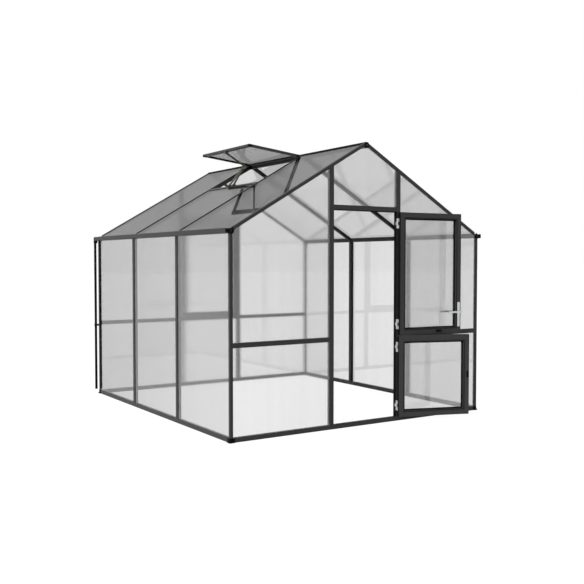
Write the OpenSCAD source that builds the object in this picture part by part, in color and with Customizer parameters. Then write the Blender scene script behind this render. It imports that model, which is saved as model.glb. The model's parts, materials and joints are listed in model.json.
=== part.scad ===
// Free-standing greenhouse: extruded aluminium frame, hazy glazing sheets,
// a two-leaf stable door in the front gable and an open roof vent.
// X runs along the front, Y from front to rear, Z up. The origin is the middle
// of the front sill's underside.

/* [House] */
// Width over the outer faces of the side walls
house_w = 2480; // [2000:10:3000]
// Length over the outer faces of the gables
house_l = 2718; // [2200:2:3600]
// Height of the underside of the eaves above the ground
eaves_z = 1520; // [1400:5:1800]
// Slope of the roof in degrees
roof_pitch = 30; // [24:1:36]
// Number of bays along each side
bays = 3; // [3:2:5]

/* [Frame bars] */
// Face width of posts, mid rails and headers
bar_w = 36; // [30:1:50]
// Height of the base sills
sill_h = 34; // [28:1:50]
// Depth of a wall bar from its outer face inwards
bar_d = 36; // [30:1:50]
// Face width of corner posts and gable rafters
corner_w = 24; // [22:1:40]
// Face width of the roof bars
roof_bar_w = 30; // [28:1:44]
// Width of the cap strip that covers the joint on a roof bar
roof_cap_w = 14; // [12:1:24]
// Thickness of the cap outside the glazing groove
cap_t = 4; // [3:0.5:6]
// Wall thickness of the hollow bars
bar_wall = 1.6; // [1.2:0.2:2]
// Depth of the glazing groove in a bar's edge
groove_d = 10; // [8:0.5:11]
// Thickness of a glazing sheet
sheet_t = 6; // [4:0.5:8]
// Width of the ridge bar
ridge_w = 24; // [20:1:40]
// Height of the ridge bar
ridge_h = 42; // [34:1:70]

/* [Base and eaves] */
// How far the foot of a base corner block stands out from the wall faces
block_out = 9; // [5:1:14]
// How far the block's body stands out from the wall faces above its foot
body_out = 3; // [1:0.5:4]
// Height of the block's foot
foot_h = 10; // [6:1:16]
// Radius of a base block's outer corner
block_r = 6; // [3:1:10]
// Height of the eaves beam's outer face up to the roof sheets
eaves_beam_h = 19; // [17:1:40]
// How far the gutter stands out from the side wall
gutter_out = 36; // [34:1:60]
// Height of the gutter's outer wall
gutter_h = 36; // [30:1:50]
// Wall thickness of the gutter
gutter_t = 2; // [1.5:0.1:3]
// Width of the turned-in lip of the gutter
gutter_lip = 6; // [3:1:10]
// Thickness of the caps on the gutter and ridge ends
end_cap_t = 5; // [3:0.5:8]
// How far a gutter cap stays inside the gutter's lower and upper edges
cap_inset = 3; // [0:0.5:6]
// How far a gutter cap reaches in over the foot of the rafter
cap_in = 34; // [28:1:44]
// How far a gutter cap reaches down over the corner post
cap_drop = 4; // [2:1:10]
// Length of the slot in a gutter cap
cap_slot_l = 22; // [14:1:24]
// Width of the slot in a gutter cap
cap_slot_w = 6; // [3:0.5:8]
// How far the end caps stand over the roof's outer planes
cap_over = 2; // [0.5:0.5:5]
// How far a ridge cap reaches out beside the ridge bar
ridge_cap_side = 5; // [2:1:20]
// How far the roof sheets reach past the side wall over the gutter
drip = 6; // [2:1:12]
// Wall thickness of the gutter outlets
outlet_wall = 2.5; // [1.5:0.5:4]
// How far a gutter outlet reaches down below the eaves
outlet_drop = 26; // [20:1:50]
// Depth of the socket that takes the downpipe
socket_l = 16; // [10:1:18]
// Outer diameter of the downpipe
pipe_d = 24; // [18:1:26]
// Wall thickness of the downpipe
pipe_wall = 1.5; // [1:0.1:2.5]
// Distance of the downpipe's axis from the side wall
pipe_off = 21; // [16:1:22]
// Distance of the downpipe's axis behind the rear face
pipe_back = 25; // [20:1:40]
// Height of the downpipe's open foot above the ground
pipe_foot_z = 42; // [30:1:120]
// Height of the downpipe's clip
clip_z = 682; // [300:2:1200]
// Height of the clip's ring
clip_h = 18; // [12:1:30]
// Wall of the clip's ring
clip_wall = 3; // [2:0.5:5]
// Thickness of the clip's arm
clip_arm_w = 10; // [6:1:16]
// Thickness of the clip's foot on the corner post
clip_foot_t = 4; // [2:0.5:8]

/* [Gables] */
// Clear width of the doorway between the jambs
door_clear_w = 636; // [560:2:800]
// Height of the underside of the door header
header_z = 1722; // [1660:2:1780]
// Height of the middle of the mid rails
mid_rail_z = 706; // [500:2:900]
// Height of the threshold strip above the sill
threshold_rise = 1; // [0.5:0.5:2]

/* [Door] */
// Gap around the door leaves
leaf_gap = 6; // [5:0.5:9]
// Gap between the upper and the lower leaf
split_gap = 7; // [5:0.5:12]
// Height of the split between the leaves
split_z = 707; // [501:2:901]
// Face width of a leaf's stiles and rails
leaf_bar_w = 50; // [40:1:70]
// Thickness of a leaf
leaf_t = 36; // [30:1:36]
// Depth of a leaf's glazing behind its outer face
leaf_sheet_in = 6; // [4:0.5:10]
// Wall thickness of the hollow leaf bars
leaf_wall = 2; // [1.6:0.2:3]
// Opening of the upper leaf as shown, in degrees from closed
upper_open = 175; // [0:1:176]
// Opening of the lower leaf as shown, in degrees from closed
lower_open = 161; // [0:1:176]

/* [Hinges] */
// Height of a hinge over its three knuckles
hinge_h = 80; // [60:1:110]
// Radius of the knuckles
knuckle_r = 6; // [5:0.5:8]
// Radius of the hinge pins
pin_r = 3; // [2:0.5:4]
// Running clearance around a pin
pin_gap = 0.05; // [0.02:0.01:0.1]
// Thickness of a hinge lug
lug_t = 2; // [1.5:0.1:2.4]
// How far a lug reaches back along the jamb or leaf edge
lug_reach = 16; // [10:1:24]
// Clear distance of the knuckles from the front face
knuckle_gap = 2; // [1:0.5:4]
// Gap between two knuckles of a hinge
knuckle_slit = 1; // [0.5:0.5:2]
// Distance of a hinge's middle from its leaf's upper or lower edge
hinge_edge = 90; // [60:2:200]

/* [Handle and catches] */
// Height of the lever's spindle above the ground
lever_z = 889; // [800:1:1100]
// Length of a back plate
plate_h = 206; // [180:1:260]
// Width of a back plate
plate_w = 26; // [22:1:40]
// Thickness of a back plate
plate_t = 5; // [3:0.5:8]
// Height of the spindle above the middle of the plate
spindle_up = 22; // [0:1:60]
// Radius of the spindle
spindle_r = 5; // [4:0.5:6]
// Running gap between a lever and its back plate
lever_gap = 0.3; // [0.2:0.1:1]
// Radius of a lever's neck
neck_r = 9; // [7:0.5:12]
// Projection of a lever from its back plate to the grip's axis
neck_out = 36; // [25:1:50]
// Length of a lever's grip
grip_l = 130; // [90:1:150]
// Radius of a lever's grip
grip_r = 8; // [6:0.5:10]
// Length of a turn catch
catch_l = 56; // [40:1:80]
// Width of a turn catch
catch_w = 18; // [12:1:26]
// Thickness of a turn catch
catch_t = 9; // [6:0.5:14]
// Distance of the upper leaf's catch from the hinge axis
upper_catch_x = 392; // [150:2:480]
// Height of the lower leaf's catch
lower_catch_z = 374; // [150:2:600]
// Distance of the lower leaf's catch from the leaf's free edge
lower_catch_in = 13; // [10:1:30]

/* [Roof vent] */
// Distance down the slope from the ridge to the vent's trimmer
vent_l = 533; // [400:1:700]
// Length of the sash from its hinge to its free edge
sash_l = 525; // [420:1:760]
// Gap between the sash and the roof bars beside it
sash_gap = 2; // [1:0.5:6]
// Face width of the sash's bars
sash_bar_w = 30; // [22:1:45]
// Thickness of the sash
sash_t = 20; // [16:1:28]
// Depth of the glazing groove in the sash's bars
sash_groove = 8; // [5:0.5:12]
// Opening of the sash in degrees from closed
vent_open = 36.5; // [5:0.5:50]
// Radius of the opener's arms
arm_r = 9; // [3:0.5:11]
// Radius of the opener's elbow
elbow_r = 12; // [7:0.5:14]
// Distance of the elbow from the ridge, across
elbow_x = 345; // [250:1:420]
// Drop of the elbow below the ridge
elbow_drop = 75; // [40:1:120]
// Spread of the forked lower arm at its foot
fork_w = 84; // [40:1:140]
// Width of the opener's brackets
bracket_w = 26; // [16:1:40]
// Thickness of the opener's brackets
bracket_t = 18; // [8:1:24]

/* [Rear window] */
// Gap between the rear window's sash and the bars around it
window_gap = 6; // [3:0.5:12]
// Face width of the rear window's bars
window_bar_w = 34; // [24:1:50]
// Thickness of the rear window's sash
window_t = 26; // [20:1:36]
// Depth of the glazing groove in the rear window's bars
window_groove = 8; // [5:0.5:12]
// Radius of the pivots that carry the rear window
window_pivot_r = 5; // [3:0.5:8]

/* [Hidden] */
$fn = 48;

anthracite = [0.26, 0.26, 0.27];
black = [0.08, 0.08, 0.08];
haze = [0.86, 0.88, 0.89, 0.5];
chrome = [0.8, 0.8, 0.82];
olive = [0.42, 0.41, 0.36];

// Slack around a sheet in its groove, and the groove that results
sheet_slack = 0.3;
groove_w = sheet_t + 2 * sheet_slack;
// A sheet stops this far short of the bottom of its groove
edge_slack = 1;
sheet_bite = groove_d - edge_slack;
// Overshoot of cutting bodies
cut = 1;

y_front = -bar_d / 2;
y_rear = y_front + house_l;
y_mid = (y_front + y_rear) / 2;
bay = house_l / bays;

// The roof planes meet on the virtual apex line, and the ridge bar is cut flat below it
slope = tan(roof_pitch);
eaves_sheet_in = (cap_t + groove_w) / cos(roof_pitch);
apex_z = eaves_z + eaves_beam_h + eaves_sheet_in + house_w / 2 * slope;
ridge_z = apex_z - ridge_w / 2 * slope;
function roof_z(x, drop = 0) = apex_z - drop / cos(roof_pitch) - abs(x) * slope;

// Door jambs, with the rear posts opposite them
jamb_x = (door_clear_w + bar_w) / 2;
leaf_w = door_clear_w - 2 * leaf_gap;
upper_z0 = split_z + split_gap / 2;
upper_z1 = header_z - leaf_gap;
lower_z0 = sill_h + leaf_gap;
lower_z1 = split_z - split_gap / 2;

// Hinge axis of both leaves, in front of the gap beside the right jamb
hinge_x = door_clear_w / 2 - leaf_gap / 2;
hinge_y = y_front - knuckle_gap - knuckle_r;
knuckle_h = (hinge_h - 2 * knuckle_slit) / 3;
upper_hinges = [upper_z1 - hinge_edge, upper_z0 + hinge_edge];
lower_hinges = [lower_z1 - hinge_edge, lower_z0 + hinge_edge];

// Free stile's middle, where the handle sits
handle_x = -leaf_w / 2 + leaf_bar_w / 2;
plate_z = lever_z - spindle_up;

// Wall frames: x along the wall, y inwards from the outer face
module on_front() { translate([0, y_front, 0]) children(); }
module on_rear() { translate([0, y_rear, 0]) mirror([0, 1, 0]) children(); }
module on_left() { translate([-house_w / 2, y_mid, 0]) rotate([0, 0, -90]) children(); }
module on_right() { mirror([1, 0, 0]) on_left() children(); }
module on_four_corners() {
  for (sx = [0, 1], sy = [0, 1])
    translate([0, sy * 2 * y_mid, 0]) mirror([0, sy, 0])
      mirror([sx, 0, 0]) translate([-house_w / 2, y_front, 0]) children();
}
// Roof frames: x down the slope from the apex line, z out of the roof
module on_right_roof() { translate([0, 0, apex_z]) rotate([0, roof_pitch, 0]) children(); }
module on_left_roof() { mirror([1, 0, 0]) on_right_roof() children(); }

// Hollow bar: x across the face, y inwards, with a glazing groove in either edge
module bar_section(w, d, low_groove = true, high_groove = true) {
  box_y = cap_t + groove_w + bar_wall;
  difference() {
    translate([-w / 2, 0]) square([w, d]);
    if (low_groove) translate([-w / 2 - cut, cap_t]) square([groove_d + cut, groove_w]);
    if (high_groove) translate([w / 2 - groove_d, cap_t]) square([groove_d + cut, groove_w]);
    translate([-w / 2 + bar_wall, box_y]) square([w - 2 * bar_wall, d - box_y - bar_wall]);
  }
}
// Corner bar with its outer faces on x = 0 and y = 0 and a groove towards each wall
module corner_section() {
  box_at = cap_t + groove_w + bar_wall;
  difference() {
    square(corner_w);
    translate([corner_w - groove_d, cap_t]) square([groove_d + cut, groove_w]);
    translate([cap_t, corner_w - groove_d]) square([groove_w, groove_d + cut]);
    translate([box_at, box_at]) square(corner_w - box_at - bar_wall);
  }
}
module wall_post(x, z0, z1, w = bar_w) {
  translate([x, 0, z0]) linear_extrude(z1 - z0) bar_section(w, bar_d);
}
// Horizontal wall bar whose upper groove is the section's low one
module wall_rail(x0, x1, z, upper = true, lower = true, w = bar_w) {
  translate([x0, 0, z]) rotate([0, 90, 0]) linear_extrude(x1 - x0) bar_section(w, bar_d, upper, lower);
}
module wall_sheet(x0, x1, z0, z1) {
  translate([x0, cap_t + sheet_slack, z0]) cube([x1 - x0, sheet_t, z1 - z0]);
}
// Everything below the plane that lies drop under the roof's outer planes
module under_roof(drop) {
  reach = house_w;
  far = 2 * house_l;
  translate([0, y_mid + far / 2, 0]) rotate([90, 0, 0]) linear_extrude(far)
    polygon([[-reach, -cut], [reach, -cut], [reach, roof_z(reach, drop)],
             [0, roof_z(0, drop)], [-reach, roof_z(reach, drop)]]);
}
// Upright slab between two distances from the ridge plane, on the right side
module beside_ridge(x0, x1) {
  far = 2 * house_l;
  translate([x0, y_mid - far / 2, 0]) cube([x1 - x0, far, 2 * apex_z]);
}

// Base: four sills butt against moulded corner blocks
module base_sills() {
  color(anthracite) {
    for (side = [0, 1]) {
      translate([0, side * 2 * y_mid, 0]) mirror([0, side, 0]) on_front()
        wall_rail(-house_w / 2 + bar_d, house_w / 2 - bar_d, sill_h / 2, true, false, sill_h);
      mirror([side, 0, 0]) on_left()
        wall_rail(-house_l / 2 + bar_d, house_l / 2 - bar_d, sill_h / 2, true, false, sill_h);
    }
  }
}
// Plan of a corner block that stands out from both wall faces, with a round outer corner
module block_plan(out) {
  w = bar_d + out;
  translate([-out, -out]) {
    translate([block_r, 0]) square([w - block_r, w]);
    translate([0, block_r]) square([w, w - block_r]);
    translate([block_r, block_r]) circle(block_r);
  }
}
module base_corner_blocks() {
  slot_l = bar_d - corner_w + groove_d + cut;
  color(black) on_four_corners() difference() {
    union() {
      linear_extrude(foot_h) block_plan(block_out);
      linear_extrude(sill_h) block_plan(body_out);
    }
    translate([corner_w - groove_d, cap_t, sill_h - groove_d]) cube([slot_l, groove_w, groove_d + cut]);
    translate([cap_t, corner_w - groove_d, sill_h - groove_d]) cube([groove_w, slot_l, groove_d + cut]);
  }
}

// Walls: uprights and rails
module corner_posts() {
  color(anthracite) on_four_corners()
    translate([0, 0, sill_h]) linear_extrude(eaves_z - sill_h) corner_section();
}
module side_wall_posts() {
  color(anthracite) for (side = [0, 1], i = [1:bays - 1])
    mirror([side, 0, 0]) on_left() wall_post(-house_l / 2 + i * bay, sill_h, eaves_z);
}
module gable_posts() {
  intersection() {
    for (s = [-1, 1]) wall_post(s * jamb_x, sill_h, apex_z);
    translate([0, -y_front, 0]) under_roof(corner_w);
  }
}
module door_jambs() { color(anthracite) on_front() gable_posts(); }
module rear_wall_posts() { color(anthracite) on_rear() gable_posts(); }
module header_rail() {
  wall_rail(-door_clear_w / 2, door_clear_w / 2, header_z + bar_w / 2, true, false);
}
module door_header() { color(anthracite) on_front() header_rail(); }
module rear_header() { color(anthracite) on_rear() header_rail(); }
module side_mid_rails() {
  for (s = [0, 1]) mirror([s, 0, 0])
    wall_rail(jamb_x + bar_w / 2, house_w / 2 - corner_w, mid_rail_z);
}
module front_mid_rails() { color(anthracite) on_front() side_mid_rails(); }
module rear_mid_rails() {
  color(anthracite) on_rear() {
    side_mid_rails();
    wall_rail(-door_clear_w / 2, door_clear_w / 2, mid_rail_z, false, true);
  }
}
// Rubber strip that fills the sill's groove across the doorway
module door_threshold() {
  color(black) on_front() translate([-door_clear_w / 2, cap_t + sheet_slack, sill_h - groove_d])
    cube([door_clear_w, sheet_t, groove_d + threshold_rise]);
}

// Eaves: one extrusion is both the beam over the side wall and the gutter
module eaves_section() {
  top_in = roof_z(house_w / 2 - bar_d, cap_t + groove_w);
  top_out = roof_z(house_w / 2, cap_t + groove_w);
  difference() {
    polygon([[0, eaves_z], [bar_d, eaves_z], [bar_d, top_in], [0, top_out]]);
    translate([cap_t, eaves_z - cut]) square([groove_w, groove_d + cut]);
    translate([cap_t + groove_w + bar_wall, eaves_z + bar_wall])
      square([bar_d - cap_t - groove_w - 2 * bar_wall, top_out - eaves_z - 2 * bar_wall]);
  }
  translate([-gutter_out, eaves_z]) {
    square([gutter_out, gutter_t]);
    square([gutter_t, gutter_h]);
    translate([0, gutter_h - gutter_t]) square([gutter_lip, gutter_t]);
  }
}
module eaves_gutter() {
  on_left() translate([-house_l / 2, 0, 0]) rotate([90, 0, 90]) linear_extrude(house_l) eaves_section();
}
module left_eaves_gutter() { color(anthracite) eaves_gutter(); }
module right_eaves_gutter() { color(anthracite) mirror([1, 0, 0]) eaves_gutter(); }
// End plate of a gutter and rafter foot: x inwards from the side wall's face, y up
cap_low = eaves_z + cap_inset;
cap_top = eaves_z + gutter_h - cap_inset;
module cap_plan() {
  slot = [cap_in / 4, eaves_z + eaves_beam_h];
  lean = 60;
  run = cap_slot_l - cap_slot_w;
  difference() {
    polygon([[-gutter_out, cap_low], [-cap_in / 3, cap_low], [-cap_drop, eaves_z - cap_drop],
             [cap_in / 2, eaves_z - cap_drop], [cap_in, eaves_z + eaves_beam_h],
             [cap_in * 2 / 3, roof_z(house_w / 2 - cap_in * 2 / 3) + cap_over],
             [0, roof_z(house_w / 2) + cap_over], [-cap_in / 3, cap_top], [-gutter_out, cap_top]]);
    translate(slot) rotate(lean) {
      square([run, cap_slot_w], center = true);
      for (s = [-1, 1]) translate([s * run / 2, 0]) circle(d = cap_slot_w);
    }
  }
}
// Front and rear ends of the left and right eaves: x inwards, y out of the gable, z up
module on_front_eaves() {
  for (sx = [0, 1]) mirror([sx, 0, 0]) translate([-house_w / 2, y_front, 0]) mirror([0, 1, 0]) children();
}
module on_rear_eaves() {
  for (sx = [0, 1]) mirror([sx, 0, 0]) translate([-house_w / 2, y_rear, 0]) children();
}
module upright(t) { translate([0, t, 0]) rotate([90, 0, 0]) linear_extrude(t) children(); }
module gutter_end_caps() { color(black) on_front_eaves() upright(end_cap_t) cap_plan(); }
// Outlets: the rear end plates carry a small hopper with a socket for the downpipe
module hopper_plan(r) {
  circle(r);
  translate([-r, -pipe_back]) square([2 * r, pipe_back]);
}
module gutter_outlets() {
  r = pipe_d / 2 + outlet_wall;
  foot = eaves_z - outlet_drop;
  water = eaves_z + gutter_t;
  color(black) on_rear_eaves() difference() {
    union() {
      upright(end_cap_t) cap_plan();
      translate([-pipe_off, pipe_back, foot]) linear_extrude(cap_top - foot) hopper_plan(r);
    }
    translate([-pipe_off, pipe_back, foot + socket_l + outlet_wall])
      linear_extrude(cap_top) intersection() {
        hopper_plan(r - outlet_wall);
        translate([-r, end_cap_t - pipe_back]) square([2 * r, pipe_back + r]);
      }
    translate([-pipe_off - r + outlet_wall, -cut, water]) cube([2 * (r - outlet_wall), pipe_back, cap_top]);
    translate([-pipe_off, pipe_back, foot - cut]) {
      cylinder(r = pipe_d / 2 + pin_gap, h = socket_l + cut);
      cylinder(r = pipe_d / 2 - pipe_wall, h = outlet_drop + gutter_h);
    }
  }
}
module at_downpipes() { on_rear_eaves() translate([-pipe_off, pipe_back, 0]) children(); }
module downpipes() {
  pipe_l = eaves_z - outlet_drop + socket_l - pipe_foot_z;
  color(black) at_downpipes() translate([0, 0, pipe_foot_z]) difference() {
    cylinder(d = pipe_d, h = pipe_l);
    translate([0, 0, -cut]) cylinder(r = pipe_d / 2 - pipe_wall, h = pipe_l + 2 * cut);
  }
}
module downpipe_clips() {
  color(black) at_downpipes() translate([0, 0, clip_z - clip_h / 2]) difference() {
    union() {
      cylinder(d = pipe_d + 2 * clip_wall, h = clip_h);
      translate([0, -clip_arm_w / 2, 0]) cube([pipe_off + clip_arm_w, clip_arm_w, clip_h]);
      translate([pipe_off, -pipe_back, 0]) cube([clip_arm_w, pipe_back, clip_h]);
      translate([pipe_off, -pipe_back, 0]) cube([corner_w, clip_foot_t, clip_h]);
    }
    translate([0, 0, -cut]) cylinder(r = pipe_d / 2 + pin_gap, h = clip_h + 2 * cut);
  }
}

// Roof: rafters and bars lean on the ridge bar and the eaves beams
module between_ridge_and_eaves() {
  intersection() {
    on_right_roof() children();
    beside_ridge(ridge_w / 2, house_w / 2 - bar_d);
  }
}
module gable_rafters() {
  color(anthracite) for (sx = [0, 1], sy = [0, 1])
    mirror([sx, 0, 0]) translate([0, sy * 2 * y_mid, 0]) mirror([0, sy, 0]) between_ridge_and_eaves()
      translate([0, y_front, 0]) rotate([0, 90, 0]) linear_extrude(house_w) corner_section();
}
// Roof bar: the sheets lie on its shoulders, and a narrow cap strip covers the joint
module roof_section() {
  side = (roof_bar_w - roof_cap_w) / 2;
  difference() {
    bar_section(roof_bar_w, bar_d);
    for (s = [0, 1]) mirror([s, 0]) translate([roof_cap_w / 2, -cut]) square([side + cut, cap_t + 2 * cut]);
  }
}
module roof_bar(y) {
  between_ridge_and_eaves() translate([0, y, 0]) rotate([-90, 0, 0]) rotate([0, 90, 0])
    linear_extrude(house_w) roof_section();
}
module roof_bars() {
  color(anthracite) for (sx = [0, 1], i = [1:bays - 1])
    mirror([sx, 0, 0]) roof_bar(y_front + i * bay);
}
module ridge_bar() {
  color(anthracite) translate([-ridge_w / 2, y_front, ridge_z - ridge_h]) difference() {
    cube([ridge_w, house_l, ridge_h]);
    translate([bar_wall, -cut, bar_wall]) cube([ridge_w - 2 * bar_wall, house_l + 2 * cut, ridge_h - 2 * bar_wall]);
  }
}
module ridge_end_caps() {
  half = ridge_w / 2 + ridge_cap_side;
  color(black) for (sy = [0, 1]) translate([0, sy * 2 * y_mid, 0]) mirror([0, sy, 0])
    translate([0, y_front, 0]) mirror([0, 1, 0]) upright(end_cap_t)
      polygon([[-half, ridge_z - ridge_h], [half, ridge_z - ridge_h], [half, roof_z(half) + cap_over],
               [ridge_w / 2, ridge_z + cap_over], [-ridge_w / 2, ridge_z + cap_over],
               [-half, roof_z(half) + cap_over]]);
}
vent_y0 = y_front + floor(bays / 2) * bay;
vent_y1 = vent_y0 + bay;
module vent_trimmer() {
  color(anthracite) on_left_roof() translate([vent_l + roof_bar_w / 2, vent_y0 + roof_bar_w / 2, 0])
    rotate([-90, 0, 0]) linear_extrude(bay - roof_bar_w) bar_section(roof_bar_w, corner_w, false, true);
}

// Glazing sheets
module front_side_sheets() {
  x0 = jamb_x + bar_w / 2 - sheet_bite;
  x1 = house_w / 2 - corner_w + sheet_bite;
  for (s = [0, 1]) mirror([s, 0, 0]) {
    wall_sheet(x0, x1, sill_h - groove_d, mid_rail_z - bar_w / 2 + sheet_bite);
    intersection() {
      difference() {
        wall_sheet(x0, x1, mid_rail_z + bar_w / 2 - groove_d, apex_z);
        translate([house_w / 2 - bar_d - edge_slack, 0, eaves_z - edge_slack]) cube([bar_d, bar_d, apex_z]);
      }
      translate([0, -y_front, 0]) under_roof(corner_w - sheet_bite);
    }
  }
}
module gable_top_sheet() {
  half = door_clear_w / 2 + sheet_bite;
  intersection() {
    wall_sheet(-half, half, header_z + bar_w - groove_d, apex_z);
    translate([0, -y_front, 0]) difference() {
      under_roof(corner_w - sheet_bite);
      translate([-ridge_w / 2 - edge_slack, y_front - cut, ridge_z - ridge_h - edge_slack])
        cube([ridge_w + 2 * edge_slack, house_l, ridge_h]);
    }
  }
}
module front_wall_panes() { color(haze) on_front() front_side_sheets(); }
module over_door_pane() { color(haze) on_front() gable_top_sheet(); }
module rear_wall_panes() {
  half = door_clear_w / 2 + sheet_bite;
  color(haze) on_rear() {
    front_side_sheets();
    gable_top_sheet();
    wall_sheet(-half, half, sill_h - groove_d, mid_rail_z - bar_w / 2 + sheet_bite);
  }
}
module side_sheets() {
  on_left() for (i = [0:bays - 1]) {
    lap0 = i == 0 ? corner_w : bar_w / 2;
    lap1 = i == bays - 1 ? corner_w : bar_w / 2;
    wall_sheet(-house_l / 2 + i * bay + lap0 - sheet_bite, -house_l / 2 + (i + 1) * bay - lap1 + sheet_bite,
               sill_h - groove_d, eaves_z + sheet_bite);
  }
}
module left_wall_panes() { color(haze) side_sheets(); }
module right_wall_panes() { color(haze) mirror([1, 0, 0]) side_sheets(); }
// A roof sheet of one bay, from a distance down the slope to the gutter
module roof_sheet(i, s0) {
  lap0 = i == 0 ? corner_w : roof_bar_w / 2;
  lap1 = i == bays - 1 ? corner_w : roof_bar_w / 2;
  y0 = y_front + i * bay + lap0 - sheet_bite;
  y1 = y_front + (i + 1) * bay - lap1 + sheet_bite;
  intersection() {
    on_right_roof() translate([s0, y0, -cap_t - sheet_slack - sheet_t]) cube([house_w, y1 - y0, sheet_t]);
    beside_ridge(ridge_w / 2, house_w / 2 + drip);
  }
}
module left_roof_panes() {
  color(haze) mirror([1, 0, 0]) for (i = [0:bays - 1])
    roof_sheet(i, i == floor(bays / 2) ? vent_l + roof_bar_w - sheet_bite : 0);
}
module right_roof_panes() { color(haze) for (i = [0:bays - 1]) roof_sheet(i, 0); }

// Roof vent: the sash lies between two roof bars and turns on a rounded nose against the ridge bar
nose_r = sash_t / 2;
sash_axis_x = ridge_w / 2 + nose_r + sheet_slack;
sash_axis_z = ridge_z - nose_r;
sash_w = bay - roof_bar_w - 2 * sash_gap;
// Sash frame: x from the hinge axis to the free edge, z through the thickness
module on_sash() {
  mirror([1, 0, 0]) translate([sash_axis_x, y_mid - sash_w / 2, sash_axis_z])
    rotate([0, roof_pitch - vent_open, 0]) children();
}
module sash_groove_cut(x, y, lx, ly) {
  translate([x, y, -groove_w / 2]) cube([lx, ly, groove_w]);
}
module vent_stiles() {
  run = sash_l - 2 * sash_bar_w;
  color(anthracite) on_sash() for (side = [0, 1])
    translate([0, side * sash_w, 0]) mirror([0, side, 0]) difference() {
      translate([sash_bar_w, 0, -sash_t / 2]) cube([run, sash_bar_w, sash_t]);
      sash_groove_cut(sash_bar_w - cut, sash_bar_w - sash_groove, run + 2 * cut, sash_groove + cut);
    }
}
module vent_rails() {
  inner = sash_w - 2 * sash_bar_w + 2 * sash_groove;
  color(anthracite) on_sash() {
    difference() {
      union() {
        rotate([-90, 0, 0]) cylinder(r = nose_r, h = sash_w);
        translate([0, 0, -sash_t / 2]) cube([sash_bar_w, sash_w, sash_t]);
      }
      sash_groove_cut(sash_bar_w - sash_groove, sash_bar_w - sash_groove, sash_groove + cut, inner);
    }
    difference() {
      translate([sash_l - sash_bar_w, 0, -sash_t / 2]) cube([sash_bar_w, sash_w, sash_t]);
      sash_groove_cut(sash_l - sash_bar_w - cut, sash_bar_w - sash_groove, sash_groove + cut, inner);
    }
  }
}
module vent_pane() {
  bite = sash_groove - edge_slack;
  color(haze) on_sash() translate([sash_bar_w - bite, sash_bar_w - bite, -sheet_t / 2])
    cube([sash_l - 2 * sash_bar_w + 2 * bite, sash_w - 2 * sash_bar_w + 2 * bite, sheet_t]);
}
// Opener: two brackets and a bent arm that forks down to the trimmer
elbow = [-elbow_x, y_mid, ridge_z - elbow_drop];
tilt = vent_open - roof_pitch;
function sash_point(x, y, z) =
  [-sash_axis_x - x * cos(tilt) + z * sin(tilt), y, sash_axis_z + x * sin(tilt) + z * cos(tilt)];
sash_foot = sash_point(sash_l - sash_bar_w / 2, y_mid, -sash_t / 2 - bracket_t / 2);
function trimmer_foot(y) =
  let (s = vent_l + roof_bar_w / 2, n = bracket_t / 2)
  [-(s * cos(roof_pitch) + n * sin(roof_pitch)), y, apex_z - s * sin(roof_pitch) + n * cos(roof_pitch)];
module rod(a, b, r) {
  v = b - a;
  translate(a) rotate([0, acos(v[2] / norm(v)), atan2(v[1], v[0])]) cylinder(r = r, h = norm(v));
}
module opener_bracket_bodies() {
  on_sash() translate([sash_l - sash_bar_w, sash_w / 2 - bracket_w / 2, -sash_t / 2 - bracket_t])
    cube([sash_bar_w, bracket_w, bracket_t]);
  for (s = [-1, 1]) on_left_roof()
    translate([vent_l, y_mid + s * fork_w / 2 - bracket_w / 2, 0]) cube([roof_bar_w, bracket_w, bracket_t]);
}
module vent_opener_brackets() { color(olive) opener_bracket_bodies(); }
module vent_opener_arms() {
  color(olive) difference() {
    union() {
      rod(elbow, sash_foot, arm_r);
      for (s = [-1, 1]) rod(elbow, trimmer_foot(y_mid + s * fork_w / 2), arm_r);
      translate(elbow) sphere(elbow_r);
    }
    opener_bracket_bodies();
  }
}

// Rear window: a sash between the rear mid rail and the rear header, on two pivots
window_z0 = mid_rail_z + bar_w / 2 + window_gap;
window_z1 = header_z - window_gap;
window_half = door_clear_w / 2 - window_gap;
module window_section() {
  difference() {
    square([window_bar_w, window_t]);
    translate([window_bar_w - window_groove, cap_t]) square([window_groove + cut, groove_w]);
  }
}
module rear_window_stiles() {
  color(anthracite) on_rear() for (s = [0, 1]) mirror([s, 0, 0]) {
    translate([-window_half, 0, window_z0]) linear_extrude(window_z1 - window_z0) window_section();
    translate([-window_half, window_t / 2, window_z1 - window_bar_w / 2]) rotate([0, -90, 0])
      cylinder(r = window_pivot_r, h = window_gap);
  }
}
module rear_window_rails() {
  run = 2 * (window_half - window_bar_w);
  color(anthracite) on_rear() for (top = [0, 1])
    translate([-run / 2, 0, top ? window_z1 : window_z0]) mirror([0, 0, top ? 0 : 1])
      rotate([0, 90, 0]) linear_extrude(run) window_section();
}
module rear_window_pane() {
  bite = window_groove - edge_slack;
  x = window_half - window_bar_w + bite;
  color(haze) on_rear()
    wall_sheet(-x, x, window_z0 + window_bar_w - bite, window_z1 - window_bar_w + bite);
}

// Door leaves, made closed and turned about the hinge axis
module turned(angle) {
  translate([hinge_x, hinge_y, 0]) rotate([0, 0, angle]) translate([-hinge_x, -hinge_y, 0]) children();
}
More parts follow.
